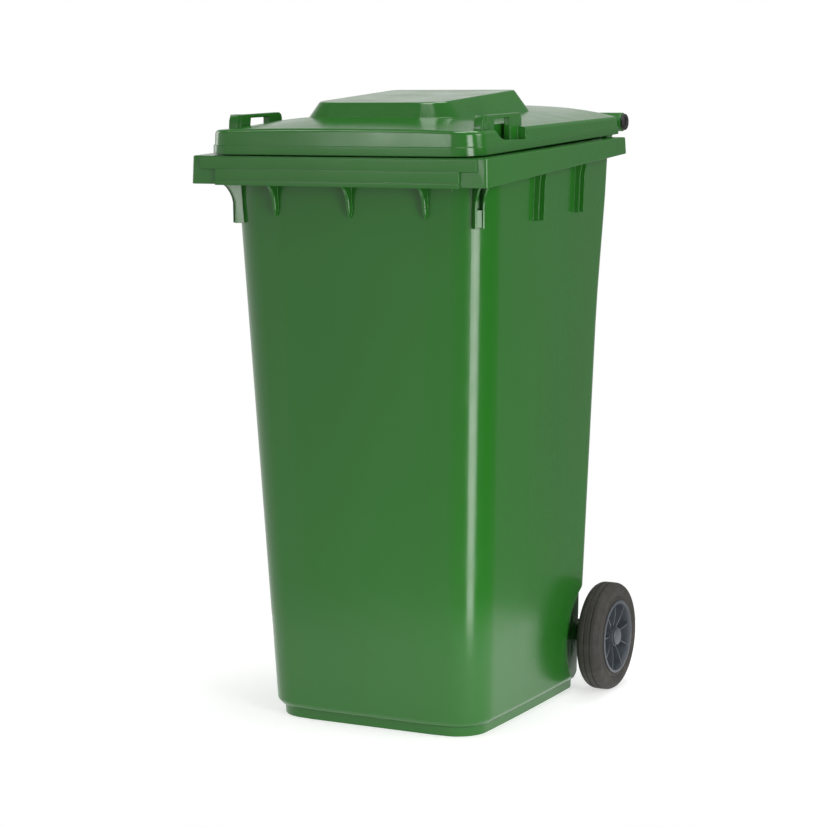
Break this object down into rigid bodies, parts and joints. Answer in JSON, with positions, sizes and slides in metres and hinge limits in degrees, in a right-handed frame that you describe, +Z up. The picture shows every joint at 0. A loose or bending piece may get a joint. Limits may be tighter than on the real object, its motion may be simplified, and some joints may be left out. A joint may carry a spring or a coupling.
{
  "type": "wheelie bin",
  "caption": "Tall tapered refuse bin with a comb rim, a hinged lid with a raised dome and loop grips, a rear handle and wheels at the rear foot.",
  "frame": {"origin": "on the ground, in the middle of the overall box", "axes": "+Z up, the comb rim faces -Y, the wheels and the handle are at +Y, +X to the right seen from the front"},
  "size_m": [0.572, 0.702, 1.1338],
  "materials": {
    "tub_green": "moulded polyethylene, satin gloss",
    "lid_green": "moulded polyethylene, glossy on top",
    "black_plastic": "moulded, matt",
    "wheel_grey": "moulded, satin",
    "tyre_rubber": "solid rubber, matt",
    "zinc_steel": "zinc plated"
  },
  "bodies": {
    "bin": {"tub": "tub_green", "chip_nest_plug": "tub_green", "hinge_pin_left": "black_plastic", "hinge_pin_right": "black_plastic", "axle": "zinc_steel", "axle_spacer_left": "black_plastic", "axle_spacer_right": "black_plastic", "axle_washer_left": "zinc_steel", "axle_washer_right": "zinc_steel"},
    "lid": {"lid": "lid_green"},
    "wheel_left": {"wheel_rim_left": "wheel_grey", "tyre_left": "tyre_rubber", "hub_cap_left": "wheel_grey", "lock_spring_left": "zinc_steel", "lock_cover_left": "black_plastic"},
    "lock_left": {"lock_pin_left": "zinc_steel"},
    "wheel_right": {"wheel_rim_right": "wheel_grey", "tyre_right": "tyre_rubber", "hub_cap_right": "wheel_grey", "lock_spring_right": "zinc_steel", "lock_cover_right": "black_plastic"},
    "lock_right": {"lock_pin_right": "zinc_steel"}
  },
  "joints": [
    {"name": "lid_hinge", "type": "hinge", "parent": "bin", "child": "lid", "pos_m": [0, 0.321, 1.074], "axis": [-1, 0, 0], "range_deg": [0, 250]},
    {"name": "wheel_spin_left", "type": "hinge", "parent": "bin", "child": "wheel_left", "pos_m": [0, 0.249, 0.102], "axis": [1, 0, 0], "continuous": true},
    {"name": "wheel_lock_left", "type": "slide", "parent": "wheel_left", "child": "lock_left", "axis": [0, 0, 1], "range_m": [0, 0.0022], "stiffness_N_per_m": 800, "deforming": ["lock_spring_left"]},
    {"name": "wheel_spin_right", "type": "hinge", "parent": "bin", "child": "wheel_right", "pos_m": [0, 0.249, 0.102], "axis": [1, 0, 0], "continuous": true},
    {"name": "wheel_lock_right", "type": "slide", "parent": "wheel_right", "child": "lock_right", "axis": [0, 0, 1], "range_m": [0, 0.0022], "stiffness_N_per_m": 800, "deforming": ["lock_spring_right"]}
  ]
}
